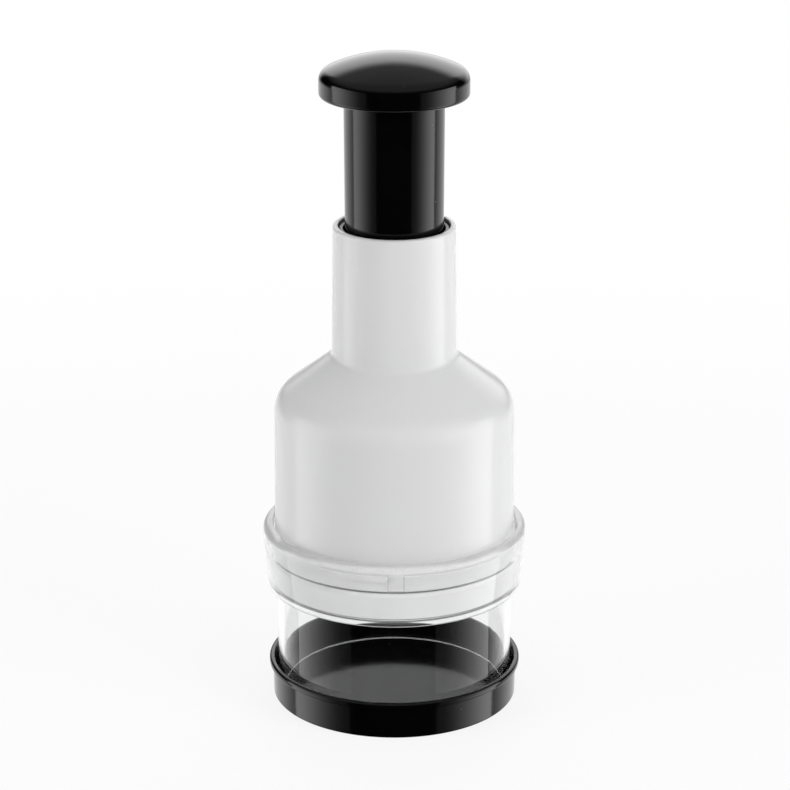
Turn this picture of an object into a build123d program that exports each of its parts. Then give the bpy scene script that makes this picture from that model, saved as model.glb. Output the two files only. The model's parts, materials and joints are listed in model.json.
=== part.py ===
"""Plunger food chopper: tray, clear container, housing, sprung plunger and indexing zigzag blade.

Millimetres, +Z up. The origin is the centre of the tray's foot, so the floor is z = 0 and Z is the
axis of every turned piece. The front is -Y. Every piece stands in its rest place: knob up, blade
drawn up behind the scraper, housing twisted home on the container.
"""
import os
from math import radians, sqrt, tan

from build123d import *

# ---- tray ----
FOOT_R = 42.1
TRAY_SIDE_R = 42.3
TRAY_BORE_R = 40.8
TRAY_FLOOR_Z = 1.6
TRAY_LIP_LOW_Z = 10.8
TRAY_LIP_TOP_Z = 13.1
TRAY_LIP_R = 43.5

# ---- clear container ----
CUP_R = 40.45
CUP_BORE_R = 38.3
CUP_STEP_LOW_Z = 40.6
CUP_STEP_TOP_Z = 41.1
COLLAR_FOOT_R = 43.3
COLLAR_TOP_R = 45.0
COLLAR_TOP_Z = 62.9
LEDGE_Z = 43.4
LEDGE_R = 40.55
SEAT_R = 41.45
LIP_LOW_Z = 59.75
LIP_R = 41.5
CHANNEL_R = 42.1

# ---- bayonet, three times round; angles run from the front towards +X ----
LUGS = 3
LUG_START = -31.4
LUG_SWEEP = 28.4
LUG_Z = (57.0, 59.6)
LUG_R = 41.8
STOP_START = -2.8
STOP_SWEEP = 7.1
STOP_LOW_Z = 54.0
ENTRY_START = -66.0
ENTRY_SWEEP = 31.5

# ---- housing ----
SKIRT_Z = 52.9
SKIRT_R = 41.05
BODY_TOP_R = 40.65
BODY_TOP_Z = 108.1
NECK_FOOT_R = 21.05
NECK_FOOT_Z = 122.95
NECK_RIM_R = 20.54
NECK_RIM_Z = 168.1
NECK_BORE_R = 18.75
SHELL_WALL = 1.9
SHOULDER_SLOPE = (NECK_FOOT_Z - BODY_TOP_Z) / (BODY_TOP_R - NECK_FOOT_R)
SHOULDER_DROP = SHELL_WALL * sqrt(1 + SHOULDER_SLOPE**2)
BOSS_R = 3.2
BOSS_CIRCLE_R = 26.5

# ---- guide sleeve and its bush ----
FLANGE_Z = (104.0, 107.0)
FLANGE_R = 31.0
SLEEVE_R = 18.6
SLEEVE_BORE_R = 17.05
SLEEVE_TOP_Z = 167.1
KEYWAY_R = 17.55
KEYWAY_WIDTH = 4.4
KEYWAY_TOP_Z = 157.0
BUSH_R = 5.6
BUSH_LOW_Z = 103.8
BUSH_FLANGE_R = 6.5
BUSH_TOP_Z = 108.2

# ---- plunger ----
STEM_TOP_R = 16.72
STEM_END_R = 16.38
STEM_BORE_R = 14.3
STEM_END_Z = 149.0
HEAD_Z = (211.72, 213.92)
HEAD_R = 21.35
BEAD_R = 22.1
BEAD_TOP_Z = 215.27
SOCKET_LOW_Z = 197.87
SOCKET_R = 6.8
KEY_R = 17.25
KEY_WIDTH = 3.8
KEY_Z = (150.0, 156.7)
KNOB_R = 24.92
KNOB_LOW_Z = 211.63
KNOB_TOP_Z = 225.73
KNOB_DOME_R = 53.4
KNOB_SHOULDER_R = 4.13
KNOB_UNDER_R = 1.5
KNOB_WALL = 2.4
SPINDLE_R = 4.0
SPINDLE_Z = (87.6, 209.87)
RUNNING_GAP = 0.05
SEAT_GAP = 0.02

# ---- return spring ----
SPRING_R = 9.5
SPRING_WIRE = 1.5
SPRING_TURNS = 10
SPRING_Z = (FLANGE_Z[1], 210.62)

# ---- indexing crowns; the wheel hangs on its washer at rest, clear of both, and is thrown up ----
# ---- against the fixed crown as the knob returns, and against the drive crown by the food ----
TEETH = 24
PITCH = 360 / TEETH
CROWN_R = (18.0, 22.0)
HUB_CROWN_R = (5.2, 9.2)
TOOTH = 1.4
TIP_GAP = 0.3
TOOTH_LAND = 0.25
WHEEL_Z = (94.5, 96.5)
HUB_ROOT_Z = 96.0
FIXED_ROOT_Z = WHEEL_Z[1] + 2 * TOOTH + TIP_GAP
DRIVE_ROOT_Z = HUB_ROOT_Z + 3 * TOOTH + 2 * TIP_GAP
WHEEL_HUB_R = 7.0
WHEEL_HUB_LOW_Z = 90.0
WHEEL_SCREW_CIRCLE_R = 13.6
DRIVE_TOP_Z = 103.5
PIN_R = 1.0

# ---- blade, its carrier and the scraper ----
BLADE_THICK = 0.7
BLADE_Z = (43.5, 91.2)
BEVEL = 1.2
FOLDS = ((-34.0, -8.0), (-22.0, 26.0), (-8.0, -33.0), (8.0, 33.0), (22.0, -26.0), (34.0, 8.0))
FOLD_R = 2.2
CARRIER_Z = (92.0, 94.5)
CARRIER_R = 35.0
CARRIER_RIM_Z = 97.0
RIB_LOW_Z = 87.4
RIB_WIDTH = 3.6
HUB_WELL_R = 8.2
SCRAPER_R = 41.0
SCRAPER_BORE_R = 39.5
SCRAPER_WEB_TOP_Z = 45.4
SCRAPER_TOP_Z = 52.6
SLOT_WIDTH = 1.4


def turned(*corners):
    """Revolve an outline about Z; each corner is (radius, height, corner rounding)."""
    outline = make_face(Polyline([(r, z) for r, z, _ in corners], close=True))
    for r, z, rounding in corners:
        if rounding:
            corner = outline.vertices().sort_by_distance((r, z))[0]
            outline = fillet(corner, rounding)
    return revolve(Plane.XZ * outline, Axis.Z)


def tube(outer_r, inner_r, low_z, top_z):
    """A plain ring between two heights."""
    return turned((inner_r, low_z, 0), (outer_r, low_z, 0), (outer_r, top_z, 0), (inner_r, top_z, 0))


def rod(radius, low_z, top_z):
    """A plain cylinder on the Z axis between two heights."""
    return Pos(0, 0, low_z) * Cylinder(radius, top_z - low_z, align=(Align.CENTER, Align.CENTER, Align.MIN))


def arc_bar(inner_r, outer_r, low_z, top_z, start, sweep):
    """A stretch of a ring; angles run from the front (-Y) towards +X."""
    size = Rectangle(outer_r - inner_r, top_z - low_z, align=(Align.MIN, Align.MIN))
    section = Plane.XZ * Pos(inner_r, low_z) * size
    return Rot(0, 0, start - 90) * revolve(section, Axis.Z, revolution_arc=sweep)


def around(count, radius, start=0.0):
    """Places evenly spaced on a circle, each turned to face outwards."""
    return [Rot(0, 0, start + k * 360 / count) * Pos(radius, 0, 0) for k in range(count)]


def crown_teeth(radii, root_z, flanks):
    """A ring of ratchet teeth with a narrow land each side; flanks are (degrees, share of height)."""
    inner_r, outer_r = radii[0] + TOOTH_LAND, radii[1] - TOOTH_LAND
    middle = (flanks[0][0] + max(degrees for degrees, _ in flanks)) / 2
    sections = []
    for x in (inner_r * 0.9, outer_r * 1.1):
        corners = [(x, x * tan(radians(d - middle)), root_z + share * TOOTH) for d, share in flanks]
        sections.append(make_face(Polyline(corners, close=True)))
    tooth = loft(sections) & tube(outer_r, inner_r, root_z - 4, root_z + 4)
    return [Rot(0, 0, middle + k * PITCH) * tooth for k in range(TEETH)]


# A tooth rises steeply, has a narrow top and falls away over the rest of its pitch.
RISING_TOOTH = ((0.0, -0.2), (0.8, 1.0), (1.8, 1.0), (14.0, 0.0), (14.0, -0.2))
# The mating tooth fits into the space between two rising ones and is parallel to their flanks.
HANGING_TOOTH = ((2.0, 0.0), (14.0, -1.0), (14.6, -1.0), (15.4, 0.0), (15.4, 0.2), (2.0, 0.2))


def zigzag(width, low_z, top_z):
    """The blade's folded line as a wall of the given width."""
    line = FilletPolyline(*FOLDS, radius=FOLD_R)
    ribbon = trace(line, line_width=width)
    return Pos(0, 0, low_z) * extrude(ribbon, top_z - low_z)


def pan_screw(head_r, head_z, shank_r, length, points_down=True):
    """A pan-head screw whose head sits on z = 0, with a cross recess."""
    head = turned((0, 0, 0), (head_r, 0, 0), (head_r, head_z, head_z * 0.6), (0, head_z, 0))
    recess = Pos(0, 0, head_z) * (Box(head_r, 0.6, 1.2) + Box(0.6, head_r, 1.2))
    shank = rod(shank_r, -length, 0)
    screw = head + shank - recess
    return screw if points_down else Rot(180, 0, 0) * screw


def base_tray():
    """Shallow cutting tray: foot ring, upright side and a rolled lip with a lead-in."""
    return turned(
        (0, 0.4, 0),
        (37.2, 0.4, 0),
        (37.8, 0, 0),
        (FOOT_R, 0, 0.5),
        (TRAY_SIDE_R, TRAY_LIP_LOW_Z, 0.3),
        (TRAY_LIP_R, TRAY_LIP_LOW_Z + 0.1, 0.5),
        (TRAY_LIP_R, TRAY_LIP_TOP_Z, 0.9),
        (41.9, TRAY_LIP_TOP_Z, 0.3),
        (TRAY_BORE_R + 0.1, TRAY_LIP_LOW_Z + 0.8, 0),
        (TRAY_BORE_R, TRAY_FLOOR_Z, 0.6),
        (0, TRAY_FLOOR_Z, 0),
    )


def clear_container():
    """Open-ended cup with a stepped-out collar, a scraper ledge and the bayonet lip."""
    body = turned(
        (CUP_BORE_R, TRAY_FLOOR_Z, 0.3),
        (CUP_R - 0.1, TRAY_FLOOR_Z, 0.5),
        (CUP_R, CUP_STEP_LOW_Z, 0.6),
        (COLLAR_FOOT_R, CUP_STEP_TOP_Z, 1.0),
        (COLLAR_TOP_R - 0.1, 55.5, 9.0),
        (COLLAR_TOP_R, COLLAR_TOP_Z, 0.8),
        (LIP_R + 0.1, COLLAR_TOP_Z, 0.4),
        (LIP_R, LIP_LOW_Z, 0),
        (CHANNEL_R, LIP_LOW_Z, 0),
        (CHANNEL_R - 0.1, 50.0, 0),
        (SEAT_R, 48.6, 0),
        (SEAT_R, LEDGE_Z, 0),
        (LEDGE_R, LEDGE_Z, 0),
        (LEDGE_R, 42.4, 0.8),
        (CUP_BORE_R, 39.9, 1.2),
    )
    for k in range(LUGS):
        turn = k * 360 / LUGS
        body -= arc_bar(
            LIP_R - 1, CHANNEL_R, LIP_LOW_Z - 0.1, COLLAR_TOP_Z + 1, ENTRY_START + turn, ENTRY_SWEEP
        )
        body += arc_bar(
            LIP_R, CHANNEL_R + 0.4, STOP_LOW_Z, LIP_LOW_Z + 0.2, STOP_START + turn, STOP_SWEEP
        )
    return body


def shoulder_z(radius):
    """Height of the shoulder's outer cone at a radius."""
    return NECK_FOOT_Z - SHOULDER_SLOPE * (radius - NECK_FOOT_R)


def housing():
    """Bottle-shaped shell: skirt with bayonet lugs, rounded shoulder, tapered neck, screw bosses."""
    outside = turned(
        (0, SKIRT_Z, 0),
        (SKIRT_R, SKIRT_Z, 0.4),
        (BODY_TOP_R, BODY_TOP_Z, 10.4),
        (NECK_FOOT_R, NECK_FOOT_Z, 3.0),
        (NECK_RIM_R, NECK_RIM_Z, 0.9),
        (0, NECK_RIM_Z, 0),
    )
    body_bore_r = BODY_TOP_R - SHELL_WALL
    hollow = turned(
        (0, SKIRT_Z - 1, 0),
        (body_bore_r + 0.4, SKIRT_Z - 1, 0),
        (body_bore_r, shoulder_z(body_bore_r) - SHOULDER_DROP, 8.5),
        (NECK_BORE_R, shoulder_z(NECK_BORE_R) - SHOULDER_DROP, 1.2),
        (NECK_BORE_R, NECK_RIM_Z + 1, 0),
        (0, NECK_RIM_Z + 1, 0),
    )
    shell = outside - hollow
    for place in around(3, BOSS_CIRCLE_R, start=30):
        shell += (place * rod(BOSS_R, FLANGE_Z[1], NECK_FOOT_Z)) & outside
        shell -= place * rod(1.3, FLANGE_Z[1] - 1, FLANGE_Z[1] + 7)
    for k in range(LUGS):
        lug = arc_bar(SKIRT_R - 0.5, LUG_R, LUG_Z[0], LUG_Z[1], LUG_START + k * 360 / LUGS, LUG_SWEEP)
        shell += lug
    return shell


def guide_sleeve():
    """Sleeve in the neck on a screwed flange, with keyways, spring collar and gussets."""
    sleeve = turned(
        (BUSH_R, FLANGE_Z[0], 0),
        (FLANGE_R, FLANGE_Z[0], 0.6),
        (FLANGE_R, FLANGE_Z[1], 0.6),
        (SLEEVE_R, FLANGE_Z[1], 2.0),
        (SLEEVE_R, SLEEVE_TOP_Z, 0.6),
        (SLEEVE_BORE_R, SLEEVE_TOP_Z, 0.4),
        (SLEEVE_BORE_R, FLANGE_Z[1], 1.0),
        (8.3, FLANGE_Z[1], 0),
        (8.3, FLANGE_Z[1] + 2.5, 0.4),
        (7.0, FLANGE_Z[1] + 2.5, 0),
        (7.0, FLANGE_Z[1], 0),
        (BUSH_R, FLANGE_Z[1], 0),
    )
    keyway_height = KEYWAY_TOP_Z - FLANGE_Z[1] - 1
    keyway = Box(2 * KEYWAY_R, KEYWAY_WIDTH, keyway_height) - rod(
        SLEEVE_BORE_R - 0.3, -keyway_height, keyway_height
    )
    sleeve -= Pos(0, 0, FLANGE_Z[1] + 1 + keyway_height / 2) * keyway
    for place in around(3, 0, start=90):
        web = make_face(
            Polyline([(SLEEVE_R - 0.4, 106.5), (26.0, 106.5), (SLEEVE_R - 0.4, 116.5)], close=True)
        )
        sleeve += place * Pos(0, 0.8, 0) * extrude(Plane.XZ * web, 1.6)
    for place in around(3, BOSS_CIRCLE_R, start=30):
        sleeve -= place * rod(1.6, FLANGE_Z[0] - 1, FLANGE_Z[1] + 1)
    return sleeve


def spindle_bush():
    """Flanged plain bearing for the spindle, set in the middle of the flange."""
    bore_r = SPINDLE_R + RUNNING_GAP
    return turned(
        (bore_r, BUSH_LOW_Z, 0.2),
        (BUSH_R, BUSH_LOW_Z, 0.3),
        (BUSH_R, FLANGE_Z[1], 0),
        (BUSH_FLANGE_R, FLANGE_Z[1], 0),
        (BUSH_FLANGE_R, BUSH_TOP_Z, 0.3),
        (bore_r, BUSH_TOP_Z, 0.2),
    )


def fixed_crown():
    """Upper ratchet ring, screwed under the flange, teeth hanging down."""
    crown = turned(
        (CROWN_R[0], FIXED_ROOT_Z, 0),
        (CROWN_R[1], FIXED_ROOT_Z, 0),
        (CROWN_R[1], FLANGE_Z[0] - 2, 0.8),
        (30.5, FLANGE_Z[0] - 2, 0.4),
        (30.5, FLANGE_Z[0], 0),
        (CROWN_R[0], FLANGE_Z[0], 0),
    )
    crown += crown_teeth(CROWN_R, FIXED_ROOT_Z, HANGING_TOOTH)
    for place in around(3, BOSS_CIRCLE_R, start=30):
        crown -= place * rod(1.6, FLANGE_Z[0] - 4, FLANGE_Z[0] + 1)
    return crown


def guide_screws():
    """Three pan-head screws from below through ring and flange into the housing's bosses."""
    screw = pan_screw(2.8, 1.7, 1.3, 11.0, points_down=False)
    return Compound([place * Pos(0, 0, FLANGE_Z[0] - 2) * screw for place in around(3, BOSS_CIRCLE_R, 30)])


def plunger_tube():
    """Hollow tapered stem with two keys at its foot, a closed head and a spindle socket."""
    stem = turned(
        (STEM_BORE_R + 0.1, STEM_END_Z, 0.3),
        (STEM_END_R, STEM_END_Z, 0.8),
        (STEM_TOP_R, HEAD_Z[0], 0),
        (HEAD_R, HEAD_Z[0], 0.3),
        (HEAD_R, HEAD_Z[1], 0),
        (BEAD_R, HEAD_Z[1], 0),
        (BEAD_R - 0.5, BEAD_TOP_Z, 0.3),
        (20.2, BEAD_TOP_Z, 0),
        (20.2, HEAD_Z[1], 0),
        (2.1, HEAD_Z[1], 0),
        (2.1, SPINDLE_Z[1], 0),
        (SPINDLE_R + SEAT_GAP, SPINDLE_Z[1], 0),
        (SPINDLE_R + SEAT_GAP, SOCKET_LOW_Z, 0),
        (SOCKET_R, SOCKET_LOW_Z, 0.5),
        (SOCKET_R, HEAD_Z[0], 0),
        (STEM_BORE_R - 0.2, HEAD_Z[0], 0.8),
    )
    key = Pos(0, 0, (KEY_Z[0] + KEY_Z[1]) / 2) * Box(2 * KEY_R, KEY_WIDTH, KEY_Z[1] - KEY_Z[0])
    return stem + (key - rod(STEM_BORE_R + 0.6, KEY_Z[0] - 1, KEY_Z[1] + 1))


def knob_cap():
    """Domed cap with a rounded rim, hollow inside, snapped over the stem's head."""
    edge_z = KNOB_TOP_Z - KNOB_DOME_R + sqrt(KNOB_DOME_R**2 - KNOB_R**2)
    dome = RadiusArc((0, KNOB_TOP_Z), (KNOB_R, edge_z), KNOB_DOME_R)
    side = Polyline((KNOB_R, edge_z), (KNOB_R, KNOB_LOW_Z), (0, KNOB_LOW_Z), (0, KNOB_TOP_Z))
    outline = make_face(dome + side)
    outline = fillet(outline.vertices().sort_by_distance((KNOB_R, edge_z))[0], KNOB_SHOULDER_R)
    outline = fillet(outline.vertices().sort_by_distance((KNOB_R, KNOB_LOW_Z))[0], KNOB_UNDER_R)
    outside = revolve(Plane.XZ * outline, Axis.Z)
    hollow_r = KNOB_R - KNOB_WALL
    roof_r = KNOB_DOME_R - KNOB_WALL
    roof_edge_z = KNOB_TOP_Z - KNOB_DOME_R + sqrt(roof_r**2 - hollow_r**2)
    roof = RadiusArc((0, KNOB_TOP_Z - KNOB_WALL), (hollow_r, roof_edge_z), roof_r)
    floor_z = HEAD_Z[1] - 0.1
    cavity = make_face(
        roof
        + Polyline(
            (hollow_r, roof_edge_z),
            (hollow_r, floor_z),
            (HEAD_R + 0.1, floor_z),
            (HEAD_R + 0.1, KNOB_LOW_Z - 1),
            (0, KNOB_LOW_Z - 1),
            (0, KNOB_TOP_Z - KNOB_WALL),
        )
    )
    cavity = fillet(cavity.vertices().sort_by_distance((hollow_r, roof_edge_z))[0], 3.5)
    return outside - revolve(Plane.XZ * cavity, Axis.Z)


def spindle():
    """Steel rod from the knob to the blade, with a clip groove, a pin hole and a tapped top."""
    groove_z = (88.3, 89.1)
    shaft = turned(
        (0, SPINDLE_Z[0], 0),
        (SPINDLE_R, SPINDLE_Z[0], 0.5),
        (SPINDLE_R, groove_z[0], 0),
        (3.3, groove_z[0], 0),
        (3.3, groove_z[1], 0),
        (SPINDLE_R, groove_z[1], 0),
        (SPINDLE_R, SPINDLE_Z[1], 0),
        (1.5, SPINDLE_Z[1], 0),
        (1.5, SPINDLE_Z[1] - 12, 0),
        (0, SPINDLE_Z[1] - 13, 0),
    )
    return shaft - drive_pin()


def spindle_screw():
    """Screw through the stem's head into the spindle."""
    return Pos(0, 0, HEAD_Z[1]) * pan_screw(4.0, 2.2, 1.5, 14.0)


def spring_washer():
    """Flat ring that spreads the spring's thrust on the underside of the stem's head."""
    return tube(11.5, 7.0, SPRING_Z[1], HEAD_Z[0])


def return_spring():
    """Open coil of six-sided wire between the sleeve's flange and the spring washer."""
    low_z = SPRING_Z[0] + SPRING_WIRE / 2
    height = SPRING_Z[1] - SPRING_Z[0] - SPRING_WIRE
    line = Pos(0, 0, low_z) * Helix(height / SPRING_TURNS, height, SPRING_R)
    section = Plane(origin=line @ 0, z_dir=line % 0) * RegularPolygon(SPRING_WIRE / 2, 6)
    return sweep(section, path=line)


def drive_crown():
    """Small ratchet ring pinned to the spindle; it bites the wheel's hub when the knob is pushed."""
    bore_r = SPINDLE_R + SEAT_GAP
    crown = turned(
        (bore_r, DRIVE_ROOT_Z, 0),
        (HUB_CROWN_R[1], DRIVE_ROOT_Z, 0),
        (HUB_CROWN_R[1], DRIVE_TOP_Z, 0.5),
        (bore_r, DRIVE_TOP_Z, 0),
    )
    teeth = crown_teeth(HUB_CROWN_R, DRIVE_ROOT_Z, HANGING_TOOTH)
    crown += [Rot(0, 0, PITCH / 2) * tooth for tooth in teeth]
    return crown - drive_pin()


def drive_pin():
    """Cross pin that locks the drive crown to the spindle."""
    return Pos(0, 0, DRIVE_TOP_Z - 1.4) * Rot(0, 90, 0) * Cylinder(PIN_R, 2 * HUB_CROWN_R[1] - 1)


def thrust_washer():
    """Washer between the wheel's hub and the clip."""
    return tube(6.5, SPINDLE_R + RUNNING_GAP, 89.2, WHEEL_HUB_LOW_Z)


def spindle_clip():
    """Open snap ring in the spindle's groove that carries the blade unit."""
    ring = tube(6.2, 3.3, 88.3, 89.1)
    mouth = Pos(6, 0, 88.7) * Box(12, 4.6, 2)
    return ring - mouth


def index_wheel():
    """Double ratchet wheel: outer teeth for the fixed crown, hub teeth for the drive crown."""
    bore_r = SPINDLE_R + RUNNING_GAP
    wheel = turned(
        (bore_r, WHEEL_HUB_LOW_Z, 0),
        (WHEEL_HUB_R, WHEEL_HUB_LOW_Z, 0.4),
        (WHEEL_HUB_R, WHEEL_Z[0], 0),
        (CROWN_R[1], WHEEL_Z[0], 0.4),
        (CROWN_R[1], WHEEL_Z[1], 0),
        (HUB_CROWN_R[1] + 0.6, WHEEL_Z[1], 0),
        (HUB_CROWN_R[1] + 0.6, HUB_ROOT_Z, 0),
        (bore_r, HUB_ROOT_Z, 0),
    )
    wheel += crown_teeth(CROWN_R, WHEEL_Z[1], RISING_TOOTH)
    wheel += crown_teeth(HUB_CROWN_R, HUB_ROOT_Z, RISING_TOOTH)
    for place in around(3, WHEEL_SCREW_CIRCLE_R, start=90):
        wheel -= place * rod(1.3, WHEEL_Z[0] - 1, WHEEL_Z[1] + 1)
    return wheel


def wheel_screws():
    """Three pan-head screws that hold the wheel on the blade carrier."""
    screw = pan_screw(2.4, 1.4, 1.1, 4.3)
    return Compound([place * Pos(0, 0, WHEEL_Z[1]) * screw for place in around(3, WHEEL_SCREW_CIRCLE_R, 90)])


def blade_carrier():
    """Disc with a raised rim and a zigzag rib moulded round the top of the blade."""
    bore_r = WHEEL_HUB_R + SEAT_GAP
    disc = turned(
        (bore_r, CARRIER_Z[0], 0),
        (CARRIER_R, CARRIER_Z[0], 0.6),
        (CARRIER_R, CARRIER_RIM_Z, 0.5),
        (CARRIER_R - 1.4, CARRIER_RIM_Z, 0.5),
        (CARRIER_R - 1.4, CARRIER_Z[1], 0.8),
        (bore_r, CARRIER_Z[1], 0),
    )
    rib = zigzag(RIB_WIDTH, RIB_LOW_Z, CARRIER_Z[0] + 0.2) & rod(CARRIER_R - 0.3, RIB_LOW_Z, CARRIER_Z[1])
    carrier = disc + (rib - rod(HUB_WELL_R, RIB_LOW_Z - 1, CARRIER_Z[1]))
    carrier -= zigzag(BLADE_THICK, RIB_LOW_Z - 1, BLADE_Z[1])
    for place in around(3, WHEEL_SCREW_CIRCLE_R, start=90):
        carrier -= place * rod(1.1, CARRIER_Z[1] - 2.3, CARRIER_Z[1] + 1)
    return carrier


def blade():
    """One steel strip folded in a zigzag, ground to an edge below, with a notch for the hub."""
    strip = zigzag(BLADE_THICK, BLADE_Z[0] + BEVEL, BLADE_Z[1])
    strip += zigzag(BLADE_THICK * 0.35, BLADE_Z[0], BLADE_Z[0] + BEVEL)
    return strip - rod(HUB_WELL_R, RIB_LOW_Z - 0.4, BLADE_Z[1] + 1)


def scraper_disc():
    """Loose disc in the container that the blade passes through and that wipes it."""
    disc = turned(
        (0, LEDGE_Z, 0),
        (SCRAPER_R, LEDGE_Z, 0.3),
        (SCRAPER_R, SCRAPER_TOP_Z - 1.3, 0),
        (SCRAPER_R - 0.5, SCRAPER_TOP_Z, 0.3),
        (SCRAPER_BORE_R, SCRAPER_TOP_Z, 0.3),
        (SCRAPER_BORE_R, SCRAPER_WEB_TOP_Z, 0.8),
        (0, SCRAPER_WEB_TOP_Z, 0),
    )
    return disc - zigzag(SLOT_WIDTH, LEDGE_Z - 1, SCRAPER_WEB_TOP_Z + 1)


NODES = (
    base_tray,
    clear_container,
    housing,
    guide_sleeve,
    spindle_bush,
    fixed_crown,
    guide_screws,
    plunger_tube,
    knob_cap,
    spindle,
    spindle_screw,
    spring_washer,
    return_spring,
    drive_crown,
    drive_pin,
    thrust_washer,
    spindle_clip,
    index_wheel,
    wheel_screws,
    blade_carrier,
    blade,
    scraper_disc,
)

os.makedirs("parts", exist_ok=True)
for node in NODES:
    export_step(node(), f"parts/{node.__name__}.step")
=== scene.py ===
"""Plunger food chopper: finished surfaces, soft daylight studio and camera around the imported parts.

Metres, +Z up, -Y is the front. Turned pieces are written as outlines of (radius, height, rounding)
in millimetres, the way a mould drawing gives them, and scaled once in rounded(). Angles round the
object run from the front towards +X.
"""
import json
from math import asin, atan2, cos, pi, radians, sin, sqrt, tan

import bmesh
import bpy
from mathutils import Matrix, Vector


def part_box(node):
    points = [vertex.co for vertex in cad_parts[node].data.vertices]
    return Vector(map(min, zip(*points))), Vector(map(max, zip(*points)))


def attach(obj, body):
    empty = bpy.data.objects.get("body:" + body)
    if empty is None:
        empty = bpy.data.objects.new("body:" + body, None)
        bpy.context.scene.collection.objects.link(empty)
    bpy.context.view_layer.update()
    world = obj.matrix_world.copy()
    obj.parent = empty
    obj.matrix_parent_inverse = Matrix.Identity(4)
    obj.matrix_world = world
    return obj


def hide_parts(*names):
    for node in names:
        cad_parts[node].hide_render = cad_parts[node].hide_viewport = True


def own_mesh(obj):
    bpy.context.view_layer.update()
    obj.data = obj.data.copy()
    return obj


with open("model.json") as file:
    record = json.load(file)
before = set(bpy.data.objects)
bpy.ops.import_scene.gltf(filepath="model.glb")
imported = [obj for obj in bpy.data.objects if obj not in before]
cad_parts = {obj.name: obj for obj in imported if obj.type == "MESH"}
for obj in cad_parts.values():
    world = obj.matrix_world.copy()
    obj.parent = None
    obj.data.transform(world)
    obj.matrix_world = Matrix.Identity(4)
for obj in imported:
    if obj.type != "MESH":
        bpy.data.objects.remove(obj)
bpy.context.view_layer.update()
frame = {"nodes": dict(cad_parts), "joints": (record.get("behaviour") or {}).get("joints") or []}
cad = frame["nodes"]

MM = 0.001
TURN_STEPS = 240
EVEN_TURN = [2 * pi * k / TURN_STEPS for k in range(TURN_STEPS)]
SHARP_ANGLE = radians(32)
WELD = 1e-7      # metres: points closer than this are one
GUARD = 0.03     # mm from the end of a rounding to its guard point
APART = 0.02     # mm that keep the corners of a step apart where their radii are the same


# ---- shader sums ----

class Wire:
    """A shader socket that can be added, subtracted, multiplied and raised in plain Python."""

    def __init__(self, finish, socket):
        self.finish = finish
        self.socket = socket

    def sum_with(self, operation, first, second, clamp=False):
        settings = {"operation": operation, "use_clamp": clamp}
        return self.finish.node("ShaderNodeMath", settings, {0: first, 1: second})

    def __add__(self, other):
        return self.sum_with("ADD", self, other)

    def __radd__(self, other):
        return self.sum_with("ADD", other, self)

    def __sub__(self, other):
        return self.sum_with("SUBTRACT", self, other)

    def __rsub__(self, other):
        return self.sum_with("SUBTRACT", other, self)

    def __mul__(self, other):
        return self.sum_with("MULTIPLY", self, other)

    def __rmul__(self, other):
        return self.sum_with("MULTIPLY", other, self)

    def __pow__(self, other):
        return self.sum_with("POWER", self, other)

    def clamped(self):
        return self.sum_with("ADD", self, 0.0, clamp=True)


class Finish:
    """A node tree that is filled through one method; used for materials and for the world."""

    def __init__(self, name, owner=None):
        self.owner = owner or bpy.data.materials.new(name)
        self.owner.use_nodes = True
        self.tree = self.owner.node_tree
        self.tree.nodes.clear()

    def node(self, kind, settings=None, inputs=None, output=0):
        """A new node; gives the wire of its output, or of several when output is a tuple of names."""
        made = self.tree.nodes.new(kind)
        for key, value in (settings or {}).items():
            setattr(made, key, value)
        for key, value in (inputs or {}).items():
            if isinstance(value, Wire):
                self.tree.links.new(value.socket, made.inputs[key])
            else:
                made.inputs[key].default_value = value
        if isinstance(output, tuple):
            return tuple(Wire(self, made.outputs[name]) for name in output)
        return Wire(self, made.outputs[output]) if len(made.outputs) else made

    def place(self, stretch=(1, 1, 1)):
        """The piece's own coordinates in metres, stretched along each axis."""
        at = self.node("ShaderNodeTexCoord", output="Object")
        return self.node("ShaderNodeMapping", inputs={"Vector": at, "Scale": stretch})

    def noise(self, size, detail=3.0, roughness=0.5, stretch=(1, 1, 1)):
        """Cloudy noise from 0 to 1 with features of the given size in metres."""
        sockets = {"Vector": self.place(stretch), "Scale": 1 / size, "Detail": detail, "Roughness": roughness}
        return self.node("ShaderNodeTexNoise", inputs=sockets)

    def cells(self, size):
        """Distance to the nearest of scattered points, in cells of the given size."""
        sockets = {"Vector": self.place(), "Scale": 1 / size}
        return self.node("ShaderNodeTexVoronoi", {"feature": "F1"}, sockets)

    def between(self, value, low, high, to_low=0.0, to_high=1.0):
        """Value carried from one range to another, eased into both ends and held there."""
        sockets = {"Value": value, "From Min": low, "From Max": high, "To Min": to_low, "To Max": to_high}
        return self.node("ShaderNodeMapRange", {"interpolation_type": "SMOOTHSTEP"}, sockets)

    def mixed(self, share, first, second):
        """A colour between two, by share; 6, 7 and 2 are the Mix node's colour sockets."""
        sockets = {0: share, 6: first, 7: second}
        return self.node("ShaderNodeMix", {"data_type": "RGBA"}, sockets, output=2)

    def bumped(self, height, depth):
        return self.node("ShaderNodeBump", inputs={"Height": height, "Distance": depth, "Strength": 1.0})

    def blended(self, share, first, second):
        """A surface between two, by share."""
        return self.node("ShaderNodeMixShader", inputs={0: share, 1: first, 2: second})

    def surface(self, **sockets):
        """A Principled surface; keyword names are socket names with underscores for spaces."""
        named = {key.replace("_", " "): value for key, value in sockets.items()}
        return self.node("ShaderNodeBsdfPrincipled", inputs=named)

    def done(self, surface, kind="ShaderNodeOutputMaterial"):
        """Puts the surface on the tree's output and gives the finished material or world."""
        self.node(kind, inputs={"Surface": surface})
        return self.owner


def grey(level):
    return (level, level, level, 1)


# ---- finishes ----

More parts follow.
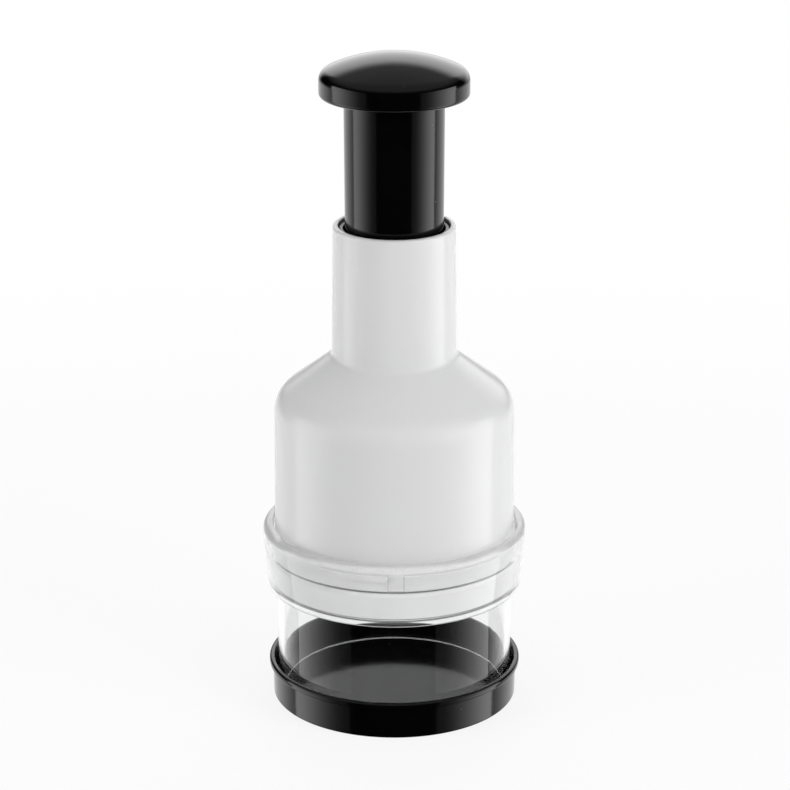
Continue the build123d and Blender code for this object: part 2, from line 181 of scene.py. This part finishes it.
def gloss_black(name, gloss=0.13):
    """Polished black ABS: a faint mould ripple, hairline rubs and a few specks of dust."""
    f = Finish(name)
    rubs = f.between(f.noise(0.0009, detail=2.0, roughness=0.6, stretch=(1, 1, 0.08)), 0.60, 0.78)
    haze = f.noise(0.018, detail=4.0, roughness=0.55)
    dust = f.between(f.cells(0.006), 0.035, 0.02)
    plastic = f.mixed(haze, grey(0.001125), grey(0.00195))
    ripple = f.noise(0.011, detail=2.0) * 0.8 + f.noise(0.0006, detail=2.0) * 0.03
    return f.done(f.surface(
        Base_Color=f.mixed(dust, plastic, grey(0.28)),
        Roughness=gloss - 0.03 + haze * 0.05 + rubs * 0.05 + dust * 0.4,
        IOR=1.52,
        Normal=f.bumped(ripple, 0.00004),
    ))


def gloss_white(name):
    """Polished white ABS: soft mould ripple, slight yellowing in patches, fine hairlines."""
    f = Finish(name)
    cloud = f.noise(0.03, detail=3.0)
    rubs = f.between(f.noise(0.0008, detail=2.0, roughness=0.6, stretch=(1, 1, 0.06)), 0.62, 0.8)
    fresh, yellowed = (0.80, 0.805, 0.81, 1), (0.788, 0.7889, 0.78165, 1)
    ripple = f.noise(0.013, detail=2.0) * 0.8 + f.noise(0.0007, detail=2.0) * 0.03
    return f.done(f.surface(
        Base_Color=f.mixed(cloud, fresh, yellowed),
        Roughness=0.18 + cloud * 0.05 + rubs * 0.05,
        IOR=1.53,
        Normal=f.bumped(ripple, 0.00004),
    ))


def clear_styrene(name):
    """Clear polished plastic: flow ripple in the wall, fine scratches, a collar rougher where the bayonet
    rubs, with painted light there: milky white mixed in, rising towards the rim.
    """
    f = Finish(name)
    scratches = f.between(f.noise(0.0007, detail=2.0, roughness=0.6, stretch=(1, 1, 0.1)), 0.62, 0.8)
    height = f.node("ShaderNodeSeparateXYZ", inputs={"Vector": f.place()}, output="Z")
    collar = f.between(height, 0.0405, 0.0435)
    # painted light: the share of milky white grows from the collar's foot towards its rim, and the rubbed
    # roughness with it
    rub_and_painted_light_rise = f.between(height, 0.0590, 0.0617, to_low=0.11, to_high=0.48)
    grain = f.between(f.noise(0.0004, detail=4.0, roughness=0.6), 0.3, 0.7, to_low=0.88, to_high=1.12)
    # one share for both: real rubbing that roughens the collar, and painted light as milky white
    rub_and_painted_light = collar * rub_and_painted_light_rise * grain
    bump = f.bumped(f.noise(0.012, detail=2.0) * 0.7, 0.00003)
    clear = f.surface(
        Base_Color=(0.985, 0.99, 0.99, 1),
        Roughness=0.012 + scratches * 0.03 + rub_and_painted_light * 0.3,
        IOR=1.49,
        Transmission_Weight=1.0,
        Normal=bump,
    )
    # painted light: a dull white surface mixed into the clear wall to lighten the collar's rim
    painted_light_white = f.surface(Base_Color=grey(0.9), Roughness=0.4, Normal=bump)
    return f.done(f.blended(rub_and_painted_light, clear, painted_light_white))


def satin_plastic(name, colour, rough):
    """Moulded plastic with a fine spark-eroded grain and faint flow marks."""
    f = Finish(name)
    flow = f.noise(0.008, detail=4.0, stretch=(1, 1, 0.4))
    grain = f.noise(0.0004, detail=2.0)
    darker = tuple(c * 0.9 for c in colour[:3]) + (1,)
    return f.done(f.surface(
        Base_Color=f.mixed(flow, darker, colour),
        Roughness=rough - 0.05 + flow * 0.1,
        Normal=f.bumped(grain * 0.5 + flow * 0.5, 0.00003),
    ))


def drawn_steel(name, level=0.56, rough=0.24, stretch=(1, 1, 0.03)):
    """Bright steel with fine lines along the way it was drawn or ground."""
    f = Finish(name)
    lines = f.noise(0.00035, detail=3.0, roughness=0.6, stretch=stretch)
    stain = f.noise(0.012, detail=4.0)
    stained, clean = grey(level * 0.9), (level * 1.06, level * 1.06, level * 1.08, 1)
    return f.done(f.surface(
        Base_Color=f.mixed(stain, stained, clean),
        Metallic=1.0,
        Roughness=rough - 0.06 + lines * 0.14 + stain * 0.05,
        Normal=f.bumped(lines, 0.00001),
    ))


def plated_steel(name):
    """Bright zinc plate, slightly blotched."""
    f = Finish(name)
    blotch = f.noise(0.0015, detail=4.0)
    return f.done(f.surface(
        Base_Color=f.mixed(blotch, (0.55, 0.56, 0.58, 1), (0.72, 0.72, 0.71, 1)),
        Metallic=1.0,
        Roughness=0.2 + blotch * 0.15,
        Normal=f.bumped(blotch, 0.00001),
    ))


# ---- outlines ----

def arc_steps(rounding):
    """How many straight steps a rounding of this radius in millimetres takes."""
    if rounding < 1:
        return 4
    return 9 if rounding < 4 else 18


def fillet(before, corner, after, radius, steps):
    """The points of the arc that rounds a corner between its two neighbours."""
    back, on = (before - corner).normalized(), (after - corner).normalized()
    half_opening = back.angle(on) / 2
    run = radius / tan(half_opening)
    middle = corner + (back + on).normalized() * radius / sin(half_opening)
    first, last = corner + back * run - middle, corner + on * run - middle
    sweep = first.angle_signed(last)
    base = atan2(first.y, first.x)
    angles = [base - sweep * step / steps for step in range(steps + 1)]
    return [middle + radius * Vector((cos(angle), sin(angle))) for angle in angles]


def rounded(corners):
    """A closed outline in metres; each corner is (radius, height, rounding) in millimetres.

    A guard point on each side of a rounding keeps the straight stretches flat in their shading.
    """
    outline = []
    for k, (r, z, rounding) in enumerate(corners):
        here = Vector((r, z))
        if not rounding:
            outline.append(here)
            continue
        before, after = Vector(corners[k - 1][:2]), Vector(corners[(k + 1) % len(corners)][:2])
        arc = fillet(before, here, after, rounding, arc_steps(rounding))
        outline.append(arc[0] + (before - here).normalized() * GUARD)
        outline += arc
        outline.append(arc[-1] + (after - here).normalized() * GUARD)
    return [point * MM for point in outline]


def arc_points(centre, radius, start, end, steps):
    """Points of an arc in millimetres, no rounding; angles run from straight up towards outwards."""
    angles = (start + (end - start) * k / steps for k in range(steps + 1))
    return [(centre[0] + radius * sin(a), centre[1] + radius * cos(a), 0) for a in angles]


# ---- skins ----

def placed(name, skin):
    """A mesh object from a bmesh, smooth except over sharp edges."""
    mesh = bpy.data.meshes.new(name)
    skin.to_mesh(mesh)
    skin.free()
    mesh.shade_smooth()
    mesh.set_sharp_from_angle(angle=SHARP_ANGLE)
    piece = bpy.data.objects.new(name, mesh)
    bpy.context.scene.collection.objects.link(piece)
    return piece


def bridged(skin, rings):
    """Faces between each ring of points and the next one."""
    for ring, following in zip(rings, rings[1:]):
        for i in range(len(ring)):
            j = (i + 1) % len(ring)
            skin.faces.new((ring[i], ring[j], following[j], following[i]))


def capped_mesh(name, skin, rings):
    """A closed skin through rings of points, with a face over its first and last ring."""
    bridged(skin, rings)
    skin.faces.new(reversed(rings[0]))
    skin.faces.new(rings[-1])
    bmesh.ops.recalc_face_normals(skin, faces=skin.faces)
    return placed(name, skin)


def turned_mesh(name, outline_at, angles=EVEN_TURN):
    """A closed skin turned about Z; outline_at(angle) gives the outline at each angle."""
    skin = bmesh.new()
    rings = []
    for angle in angles:
        across, along = sin(angle), -cos(angle)
        rings.append([skin.verts.new((p.x * across, p.x * along, p.y)) for p in outline_at(angle)])
    bridged(skin, rings + rings[:1])
    bmesh.ops.remove_doubles(skin, verts=skin.verts, dist=WELD)
    bmesh.ops.dissolve_degenerate(skin, edges=skin.edges, dist=WELD)
    bmesh.ops.recalc_face_normals(skin, faces=skin.faces)
    return placed(name, skin)


def evenly_turned(name, corners):
    """A skin with the same outline all the way round."""
    outline = rounded(corners)
    return turned_mesh(name, lambda angle: outline)


# ---- bayonet ----

# Sectors are (start, sweep) in degrees and repeat LUGS times round the object.
LUGS = 3
LUG = (-31.4, 28.4)
STOP = (-2.8, 7.1)
ENTRY = (-66.0, 31.5)
STEEP, RUN_OUT = 0.12, 1.2      # degrees on each side of an edge that its flank takes


def inside(angle, start, sweep):
    """True where the angle lies in one of the repeated sectors."""
    return ((angle * 180 / pi - start) % (360 / LUGS)) < sweep


def sector_edges(start, sweep, flank):
    """(degrees, flank) at both edges of each repeated sector."""
    return [(start + side + 360 * k / LUGS, flank) for side in (0, sweep) for k in range(LUGS)]


def sector_angles(edges):
    """Even angles round the circle, cleared near each edge, with one pair across its flank."""
    angles = set(EVEN_TURN)
    for edge, flank in edges:
        at, half = radians(edge) % (2 * pi), radians(flank)
        cleared = half * 1.5
        angles = {a for a in angles if abs(a - at) > cleared}
        angles |= {(at - half) % (2 * pi), (at + half) % (2 * pi)}
    return sorted(angles)


# ---- turned pieces ----

TRAY_FLOOR = 1.6
COLLAR_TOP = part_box("clear_container")[1].z / MM
LIP_LOW = 59.75
LIP_R = 41.5
CHANNEL_R = 42.1
CHANNEL_LOW = 54.0


def tray_skin():
    """Tray with a shallow recess below, an upright side and a standing lip."""
    recess_z, lip_r, lip_top = 0.4, 43.5, 13.1
    return evenly_turned("tray_skin", (
        (0, recess_z, 0), (37.2, recess_z, 0), (37.8, 0, 0), (42.1, 0, 0.5), (42.3, 10.8, 0.3),
        (lip_r, 10.9, 0.5), (lip_r, lip_top, 0.9), (41.9, lip_top, 0.3), (40.9, 11.6, 0.2),
        (40.8, TRAY_FLOOR, 0.6), (0, TRAY_FLOOR, 0),
    ))


def cup_outline(entry, stop):
    """The container's wall; the lip is missing in an entry gap and the channel is filled at a stop."""
    lip_r = CHANNEL_R if entry else LIP_R
    channel_r = LIP_R if stop else CHANNEL_R
    bore, foot_z = 38.3, TRAY_FLOOR + 0.05
    ledge_r, ledge_z, step_z = 40.4, 42.3, 43.38
    return rounded((
        (bore, foot_z, 0.3), (40.35, foot_z, 0.5), (40.45, 40.9, 0.6), (43.3, 41.1, 0.3),
        (44.9, 55.5, 9.0), (45.0, COLLAR_TOP, 2.2), (lip_r + 0.1, COLLAR_TOP, 0.4), (lip_r, LIP_LOW, 0.5),
        (channel_r, LIP_LOW - APART, 0), (channel_r, CHANNEL_LOW, 0),
        (CHANNEL_R - 0.05, CHANNEL_LOW - APART, 0), (42.0, 50.0, 0), (41.45, step_z + APART, 0),
        (ledge_r, step_z, 0.15), (ledge_r, ledge_z, 0.15), (bore, ledge_z, 0.4),
    ))


def cup_skin():
    shapes = {(entry, stop): cup_outline(entry, stop) for entry in (False, True) for stop in (False, True)}
    return turned_mesh(
        "cup_skin",
        lambda angle: shapes[inside(angle, *ENTRY), inside(angle, *STOP)],
        sector_angles(sector_edges(*STOP, STEEP) + sector_edges(*ENTRY, RUN_OUT)),
    )


def housing_outline(lug):
    """The white shell, even in wall at its sloping shoulder; with lug, one stands out of its skirt."""
    bore, wall, edge_z, skirt_r = 38.75, 1.9, 53.3, 41.05
    lug_r, lug_low, lug_top = 41.8 if lug else skirt_r + 0.01, 57.0, 59.6
    body_r, body_z, neck_r, neck_z = 40.65, 108.1, 21.05, 122.95
    neck_bore, rim_r, rim_z = 18.75, 20.54, 168.1
    slope = (neck_z - body_z) / (body_r - neck_r)
    drop = wall * sqrt(1 + slope**2)

    def underside(r):
        return neck_z - slope * (r - neck_r) - drop

    return rounded((
        (bore + 0.4, edge_z, 0.3), (skirt_r, edge_z, 0.7), (skirt_r, lug_low - APART, 0),
        (lug_r, lug_low, 0), (lug_r, lug_top, 0), (skirt_r - APART, lug_top + APART, 0),
        (body_r, body_z, 10.4), (neck_r, neck_z, 3.0), (rim_r, rim_z, 0.85),
        (neck_bore, rim_z, 0.5), (neck_bore, underside(neck_bore), 1.2), (bore, underside(bore), 8.5),
    ))


def housing_skin():
    shapes = {lug: housing_outline(lug) for lug in (False, True)}
    return turned_mesh(
        "housing_skin",
        lambda angle: shapes[inside(angle, *LUG)],
        sector_angles(sector_edges(*LUG, STEEP)),
    )


def stem_skin():
    """Tube with a closed head, whose bead snaps into the cap."""
    low, head_low, head_top, bead_top = 149.0, 211.72, 213.92, 215.27
    head_r, seat_r = 21.35, 20.2
    return evenly_turned("stem_skin", (
        (14.4, low, 0.3), (16.38, low, 0.8), (16.72, head_low, 0.25), (head_r, head_low, 0.3),
        (head_r, head_top, 0), (22.1, head_top, 0), (21.6, bead_top, 0.3), (seat_r, bead_top, 0),
        (seat_r, head_top, 0), (0, head_top, 0), (0, head_low, 0), (14.1, head_low, 0.8),
    ))


def knob_skin():
    """Cap with a low dome that runs tangent into its shoulder, hollow below."""
    dome_r, top, side_r, shoulder_r, wall = 53.4, 225.73, 24.92, 4.13, 2.4
    edge_z, mouth_r, mouth_z, corner_z = 211.63, 21.45, 213.82, 217.2
    centre = (0, top - dome_r)
    lean = asin((side_r - shoulder_r) / (dome_r - shoulder_r))
    shoulder = (side_r - shoulder_r, centre[1] + (dome_r - shoulder_r) * cos(lean))
    hollow_r, roof_r = side_r - wall, dome_r - wall
    roof_lean = asin((hollow_r - 3) / roof_r)
    return evenly_turned("knob_skin", (
        *arc_points(centre, dome_r, 0, lean, steps=30),
        *arc_points(shoulder, shoulder_r, lean, pi / 2, steps=24)[1:],
        (side_r, edge_z, 1.45), (mouth_r, edge_z, 0.1), (mouth_r, mouth_z, 0), (hollow_r, mouth_z, 0),
        (hollow_r, corner_z, 1.0),
        *arc_points(centre, roof_r, roof_lean, 0, steps=8),
    ))


# ---- spring and blade ----

WIRE_R = 0.00075
WIRE_SIDES = 12
FOLDS = ((-34.0, -8.0), (-22.0, 26.0), (-8.0, -33.0), (8.0, 33.0), (22.0, -26.0), (34.0, 8.0))


def heading(points, k):
    """The way from the point before to the point after, along an open line."""
    return points[min(k + 1, len(points) - 1)] - points[max(k - 1, 0)]


def wire_along(name, points):
    """The spring's round wire through a list of points, closed at both ends."""
    skin = bmesh.new()
    rings = []
    for k, point in enumerate(points):
        ahead = heading(points, k).normalized()
        up = ahead.cross(Vector((point.x, point.y, 0)).normalized()).normalized()
        side = up.cross(ahead)
        rounds = (2 * pi * i / WIRE_SIDES for i in range(WIRE_SIDES))
        rings.append([skin.verts.new(point + WIRE_R * (side * cos(a) + up * sin(a))) for a in rounds])
    return capped_mesh(name, skin, rings)


def spring_coil(low, high):
    """Round wire with one closed turn at each end and open turns between."""
    coil_r, turns, steps, closed = 0.0095, 12, 44, 1.0
    closed_rise = WIRE_R * 2.05
    span = high - low - 2 * WIRE_R - 2 * closed * closed_rise
    points = []
    for k in range(turns * steps + 1):
        turn = k / steps
        open_share = min(max((turn - closed) / (turns - 2 * closed), 0), 1)
        closed_turns = min(turn, closed) + max(turn - turns + closed, 0)
        z = low + WIRE_R + closed_rise * closed_turns + span * open_share
        points.append(Vector((coil_r * cos(2 * pi * turn), coil_r * sin(2 * pi * turn), z)))
    return wire_along("spring_coil", points)


def folded_line():
    """The blade's line seen from above, with each fold rounded, in metres."""
    fold_r, steps = 2.2, 9
    folds = [Vector(fold) for fold in FOLDS]
    line = folds[:1]
    for before, here, after in zip(folds, folds[1:], folds[2:]):
        line += fillet(before, here, after, fold_r, steps)
    return [point * MM for point in line + folds[-1:]]


def blade_strip():
    """The folded strip with a ground bevel on both sides of its lower edge and a notch for the hub."""
    low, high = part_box("blade")[0].z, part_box("blade")[1].z
    half, bevel, edge_share = 0.00035, 0.0016, 0.02
    notch_r, notch_z = 0.0082, 0.087
    spacing = 0.0012
    coarse = folded_line()
    line = []
    for start, end in zip(coarse, coarse[1:]):
        pieces = max(1, int((end - start).length / spacing))
        line += [start.lerp(end, k / pieces) for k in range(pieces)]
    line.append(coarse[-1])
    skin = bmesh.new()
    rings = []
    for k, point in enumerate(line):
        ahead = heading(line, k)
        side = Vector((-ahead.y, ahead.x)).normalized() * half
        top = notch_z if point.length < notch_r else high
        section = (
            (edge_share, low), (1.0, low + bevel), (1.0, top),
            (-1.0, top), (-1.0, low + bevel), (-edge_share, low),
        )
        rings.append([skin.verts.new((point.x + side.x * s, point.y + side.y * s, z)) for s, z in section])
    return capped_mesh("blade_strip", skin, rings)


# ---- the object ----

def stands_for(piece, node, body, finish):
    """The piece takes the node's place on its body."""
    piece.data.materials.append(finish)
    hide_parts(node)
    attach(piece, body)


black_gloss = gloss_black("polished black ABS")
white_gloss = gloss_white("polished white ABS")
bright_wire = drawn_steel("drawn spring wire", level=0.45, rough=0.3, stretch=(1, 1, 1))
tray_gloss = gloss_black("polished black tray ABS", gloss=0.12)
clear_wall = clear_styrene("clear polished styrene")
ground_steel = drawn_steel("ground blade steel", level=0.62, rough=0.34, stretch=(1, 1, 0.05))

stands_for(tray_skin(), "base_tray", "tray", tray_gloss)
cup = cup_skin()
cup.visible_shadow = False
stands_for(cup, "clear_container", "container", clear_wall)
stands_for(housing_skin(), "housing", "upper_housing", white_gloss)
stands_for(stem_skin(), "plunger_tube", "plunger", black_gloss)
stands_for(knob_skin(), "knob_cap", "plunger", black_gloss)
stands_for(blade_strip(), "blade", "blade_unit", ground_steel)

coil_low, coil_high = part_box("return_spring")[0].z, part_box("return_spring")[1].z
coil = spring_coil(coil_low, coil_high)
stands_for(coil, "return_spring", "upper_housing", bright_wire)
stroke = next(j for j in frame["joints"] if j["name"] == "plunge")["range_m"][1]
1 - stroke / (coil_high - coil_low)
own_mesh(coil)

finishes = {
    "guide_sleeve": satin_plastic("satin black nylon", (0.006, 0.006, 0.0065, 1), rough=0.3),
    "scraper_disc": satin_plastic("satin white polypropylene", grey(0.9), rough=0.34),
    "blade_carrier": white_gloss,
    "spindle": drawn_steel("ground spindle steel"),
    "spindle_clip": bright_wire,
}
gears = satin_plastic("natural acetal", (0.74, 0.73, 0.69, 1), rough=0.4)
screws = plated_steel("bright zinc plate")
for node in ("spindle_bush", "fixed_crown", "drive_crown", "index_wheel", "thrust_washer"):
    finishes[node] = gears
for node in ("guide_screws", "spindle_screw", "wheel_screws", "drive_pin", "spring_washer"):
    finishes[node] = screws
for node, finish in finishes.items():
    cad[node].data.materials.clear()
    cad[node].data.materials.append(finish)


# ---- floor, light, camera ----

FLOOR_HALF = 4.0
FLOOR_Z = -0.0002               # just clear of the tray's foot
SHADOW_SHARE = 0.13             # how much of its real shading the floor shows near the object
SHADOW_FADE = (0.22, 0.6)       # metres from the object over which that share fades out
CEILING = 0.28                  # brightness overhead in a polished surface
ROOM_FILL = 0.14                # brightness all round that falls on a dull surface
AIM = Vector((0, 0, 0.1))       # the middle of the object


def flat_panel(name, corners):
    skin = bmesh.new()
    skin.faces.new([skin.verts.new(corner) for corner in corners])
    return placed(name, skin)


def pale_floor():
    """Plain white floor: the camera sees it as white, with part of the object's shadow left in."""
    ways = ((-1, -1), (1, -1), (1, 1), (-1, 1))
    floor = flat_panel("floor", [(FLOOR_HALF * x, FLOOR_HALF * y, FLOOR_Z) for x, y in ways])
    f = Finish("white floor")
    seen = f.node("ShaderNodeLightPath", output="Is Camera Ray")
    paint = f.node("ShaderNodeBsdfDiffuse", inputs={"Color": grey(0.92)})
    glow = f.node("ShaderNodeEmission", inputs={"Color": grey(1.0), "Strength": 1.0})
    distance = f.node("ShaderNodeVectorMath", {"operation": "LENGTH"}, {0: f.place()}, output="Value")
    shadowed = f.between(distance, *SHADOW_FADE, SHADOW_SHARE, 0.0)
    floor.data.materials.append(f.done(f.blended(seen * (1 - shadowed), paint, glow)))
    floor.visible_glossy = floor.visible_transmission = False


def studio_world():
    """White where it is looked at, straight or through a clear wall, and an even fill on dull surfaces.

    A polished surface sees it bright low behind and dim overhead. A ray that has come through a
    clear wall also finds it bright level behind, which lights the tray's floor under the cup.
    The ranges of behind and upwards are parts of a direction of length 1.
    """
    world = bpy.data.worlds.new("studio")
    bpy.context.scene.world = world
    f = Finish("studio", world)
    ray_kinds = ("Is Camera Ray", "Is Transmission Ray", "Glossy Depth", "Is Diffuse Ray")
    camera, clear_way, mirrors, scattered = f.node("ShaderNodeLightPath", output=ray_kinds)
    seen = camera + clear_way * (1 - mirrors).clamped()
    way = f.node("ShaderNodeTexCoord", output="Generated")
    behind, upwards = f.node("ShaderNodeSeparateXYZ", inputs={"Vector": way}, output=("Y", "Z"))
    above = f.between(upwards, 0.3, 0.75)
    low = f.between(upwards, 0.02, -0.22)
    lit = low + clear_way * (1 - low) * (1 - above)
    mirrored = f.between(behind, 0.0, 0.68) * lit + above * CEILING
    room = mirrored * (1 - scattered) + scattered * ROOM_FILL
    dark = f.node("ShaderNodeBackground", inputs={"Color": grey(0.0), "Strength": 1.0})
    white = f.node("ShaderNodeBackground", inputs={"Color": grey(1.0), "Strength": 1.0})
    f.done(f.blended(room * (1 - seen) + seen, dark, white), "ShaderNodeOutputWorld")


def glowing_card(name, azimuth, fade, strength, distance, low, high, width):
    """A card that only glossy surfaces see; fade(finish, across, up) is how much of it glows."""
    half = width / 2
    card = flat_panel(name, ((-half, 0, low), (half, 0, low), (half, 0, high), (-half, 0, high)))
    turn = radians(azimuth)
    card.location = (distance * sin(turn), -distance * cos(turn), 0)
    card.rotation_euler = (0, 0, turn)
    f = Finish(name + " glow")
    across, up = f.node("ShaderNodeSeparateXYZ", inputs={"Vector": f.place()}, output=("X", "Z"))
    unlit = f.node("ShaderNodeBsdfTransparent")
    glow = f.node("ShaderNodeEmission", inputs={"Color": grey(1.0), "Strength": strength})
    card.data.materials.append(f.done(f.blended(fade(f, across, up), unlit, glow)))
    card.visible_camera = card.visible_diffuse = card.visible_transmission = card.visible_shadow = False


def rising(dim, bright):
    """A glow that grows across the card from one place to another, never quite out."""
    least, curve = 0.06, 1.5
    return lambda f, across, up: f.between(across, dim, bright) ** curve * (1 - least) + least


def middle_patch(f, across, up):
    """A soft-edged glow in the middle of the card."""
    sides = f.between(across, -0.9, -0.2) * f.between(across, 0.5, 0.15)
    return sides * f.between(up, 0.10, 0.24) * f.between(up, 0.82, 0.58)


def soft_lamp(name, azimuth, height, size, power, distance=0.9):
    """A rectangular lamp aimed at the middle of the object; no reflection or clear wall shows it."""
    lamp = bpy.data.lights.new(name, "AREA")
    lamp.shape = "RECTANGLE"
    lamp.size, lamp.size_y = size
    lamp.energy = power
    holder = bpy.data.objects.new(name, lamp)
    bpy.context.scene.collection.objects.link(holder)
    turn = radians(azimuth)
    holder.location = (distance * sin(turn), -distance * cos(turn), height)
    holder.rotation_euler = (AIM - holder.location).to_track_quat("-Z", "Y").to_euler()
    holder.visible_glossy = holder.visible_transmission = False


def studio_camera():
    """Long lens, level roll, 19.1 degrees above the horizon, square frame."""
    lens_px, frame_px, axis_px, distance = 2950.0, 790.0, 394.3, 1.0
    tilt, aim_z = radians(19.1), 0.108
    view = bpy.data.cameras.new("studio camera")
    view.sensor_width = 36.0
    view.lens = view.sensor_width * lens_px / frame_px
    view.shift_x = (frame_px / 2 - axis_px) / frame_px
    holder = bpy.data.objects.new("studio camera", view)
    holder.location = (0, -distance * cos(tilt), aim_z + distance * sin(tilt))
    holder.rotation_euler = (pi / 2 - tilt, 0, 0)
    bpy.context.scene.collection.objects.link(holder)
    bpy.context.scene.camera = holder


pale_floor()
studio_world()
side_card = {"distance": 0.62, "low": -0.45, "high": 0.36, "width": 0.78}
back_card = {"distance": 0.7, "low": 0.10, "high": 0.82, "width": 1.8}
glowing_card("left card", azimuth=-74, fade=rising(0.39, -0.27), strength=1.9, **side_card)
glowing_card("right card", azimuth=72, fade=rising(-0.39, 0.27), strength=2.2, **side_card)
glowing_card("back card", azimuth=180, fade=middle_patch, strength=1.6, **back_card)
soft_lamp("left lamp", azimuth=-66, height=0.35, size=(0.5, 0.9), power=4.3)
soft_lamp("right lamp", azimuth=56, height=0.35, size=(0.5, 0.9), power=6.4)
soft_lamp("back lamp", azimuth=180, height=0.35, size=(0.9, 0.9), power=5.0)
soft_lamp("top lamp", azimuth=180, height=1.15, size=(0.9, 0.9), power=3.6, distance=0.15)
studio_camera()
bpy.context.scene.view_settings.view_transform = "Standard"
paths = bpy.context.scene.cycles
paths.max_bounces, paths.glossy_bounces, paths.transmission_bounces = 24, 20, 24
